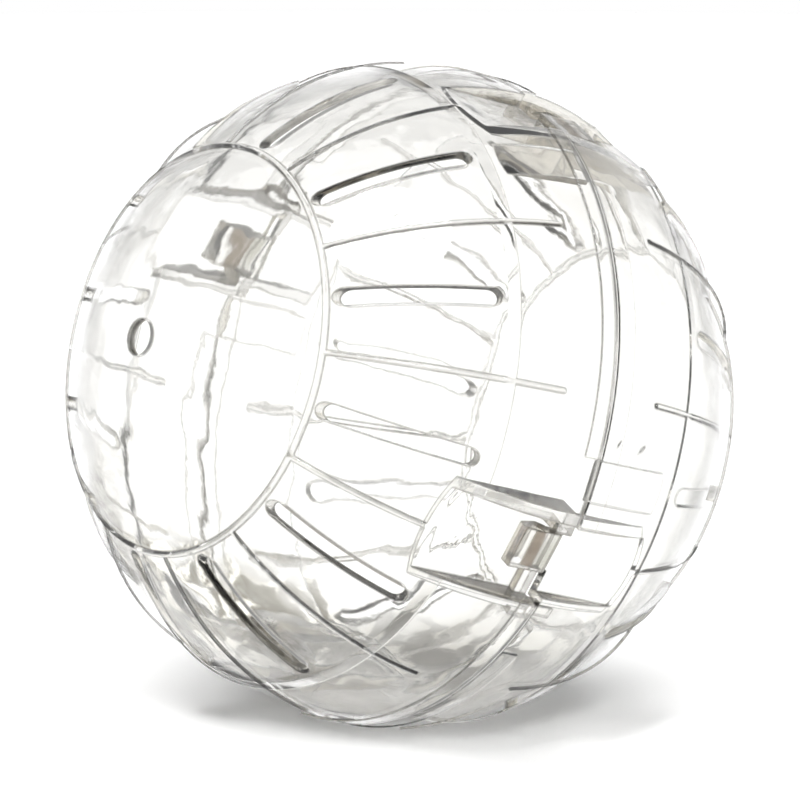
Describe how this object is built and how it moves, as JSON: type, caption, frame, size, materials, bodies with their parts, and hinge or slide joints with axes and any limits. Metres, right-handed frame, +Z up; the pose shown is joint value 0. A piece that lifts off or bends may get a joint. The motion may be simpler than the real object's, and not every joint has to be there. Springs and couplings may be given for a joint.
{
  "type": "hamster ball",
  "caption": "Clear hollow exercise ball in two ribbed, slotted half shells that hook together at the middle and pull apart along the pole axis.",
  "frame": {"origin": "centre of the closed ball", "axes": "Y along the pole axis, with the front shell's pole, which has the hole, towards -Y; +Z up, through an air slot of each shell"},
  "size_m": [0.1204, 0.1199, 0.1204],
  "materials": {
    "clear_plastic": "clear, polished, moulded"
  },
  "bodies": {
    "front": {"front_shell": "clear_plastic"},
    "rear": {"rear_shell": "clear_plastic"}
  },
  "joints": [
    {"name": "shell_pull", "type": "slide", "parent": "front", "child": "rear", "axis": [0, 1, 0], "range_m": [0, 0.07]}
  ]
}
